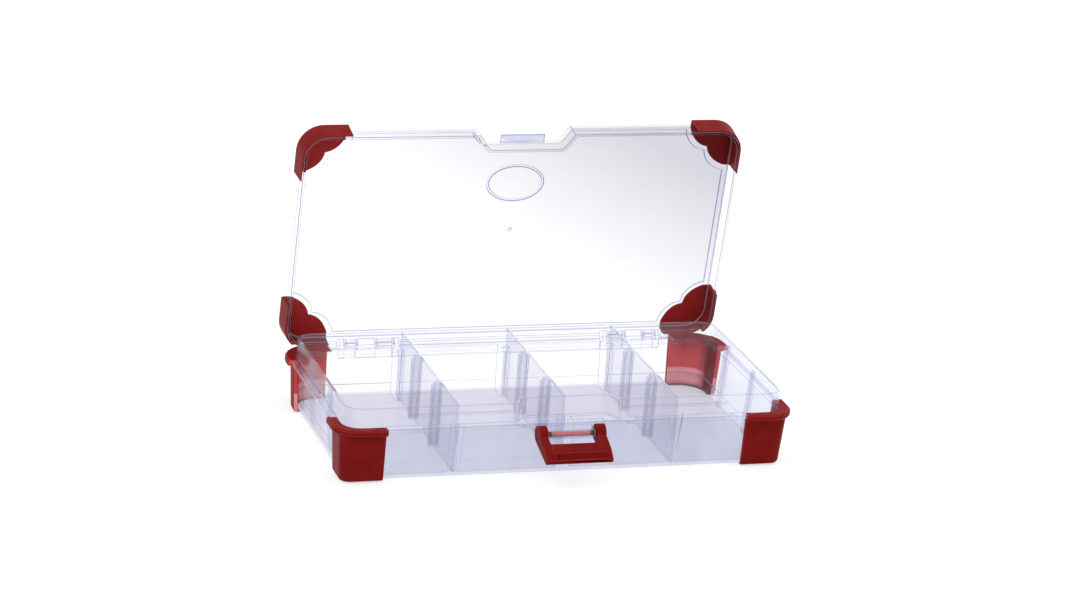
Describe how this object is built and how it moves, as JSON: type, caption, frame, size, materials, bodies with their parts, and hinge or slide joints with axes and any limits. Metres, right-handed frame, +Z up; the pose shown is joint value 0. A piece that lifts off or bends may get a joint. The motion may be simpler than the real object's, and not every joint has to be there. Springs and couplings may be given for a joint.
{
  "type": "parts organizer",
  "caption": "Clear compartment case with a hinged lid, lift-out dividers, soft corner caps and a front snap latch, shown open.",
  "frame": {"origin": "on the underside, midway between the left and right and between the front and back of the tray's rim", "axes": "+X to the right seen from the front, +Y to the back where the lid is hinged, +Z up"},
  "size_m": [0.2436, 0.1523, 0.1521],
  "materials": {
    "clear_plastic": "clear, glossy",
    "divider_plastic": "clear, glossy",
    "red_plastic": "soft satin",
    "latch_plastic": "satin"
  },
  "bodies": {
    "case": {"tray": "clear_plastic", "tray_cap_front_left": "red_plastic", "tray_cap_front_right": "red_plastic", "tray_cap_back_left": "red_plastic", "tray_cap_back_right": "red_plastic"},
    "lid": {"lid": "clear_plastic", "lid_cap_front_left": "red_plastic", "lid_cap_front_right": "red_plastic", "lid_cap_back_left": "red_plastic", "lid_cap_back_right": "red_plastic"},
    "latch": {"latch": "latch_plastic"},
    "divider_left": {"divider_left": "divider_plastic"},
    "divider_middle": {"divider_middle": "divider_plastic"},
    "divider_right": {"divider_right": "divider_plastic"}
  },
  "joints": [
    {"name": "lid_hinge", "type": "hinge", "parent": "case", "child": "lid", "pos_m": [0, 0.0624, 0.03], "axis": [-1, 0, 0], "range_deg": [-81.3, 15]},
    {"name": "latch_pivot", "type": "hinge", "parent": "case", "child": "latch", "pos_m": [0, -0.0593, 0.0232], "axis": [1, 0, 0], "range_deg": [-122, 60]},
    {"name": "divider_left_lift", "type": "slide", "parent": "case", "child": "divider_left", "axis": [0, 0, 1], "range_m": [0, 0.04]},
    {"name": "divider_middle_lift", "type": "slide", "parent": "case", "child": "divider_middle", "axis": [0, 0, 1], "range_m": [0, 0.04]},
    {"name": "divider_right_lift", "type": "slide", "parent": "case", "child": "divider_right", "axis": [0, 0, 1], "range_m": [0, 0.04]}
  ]
}
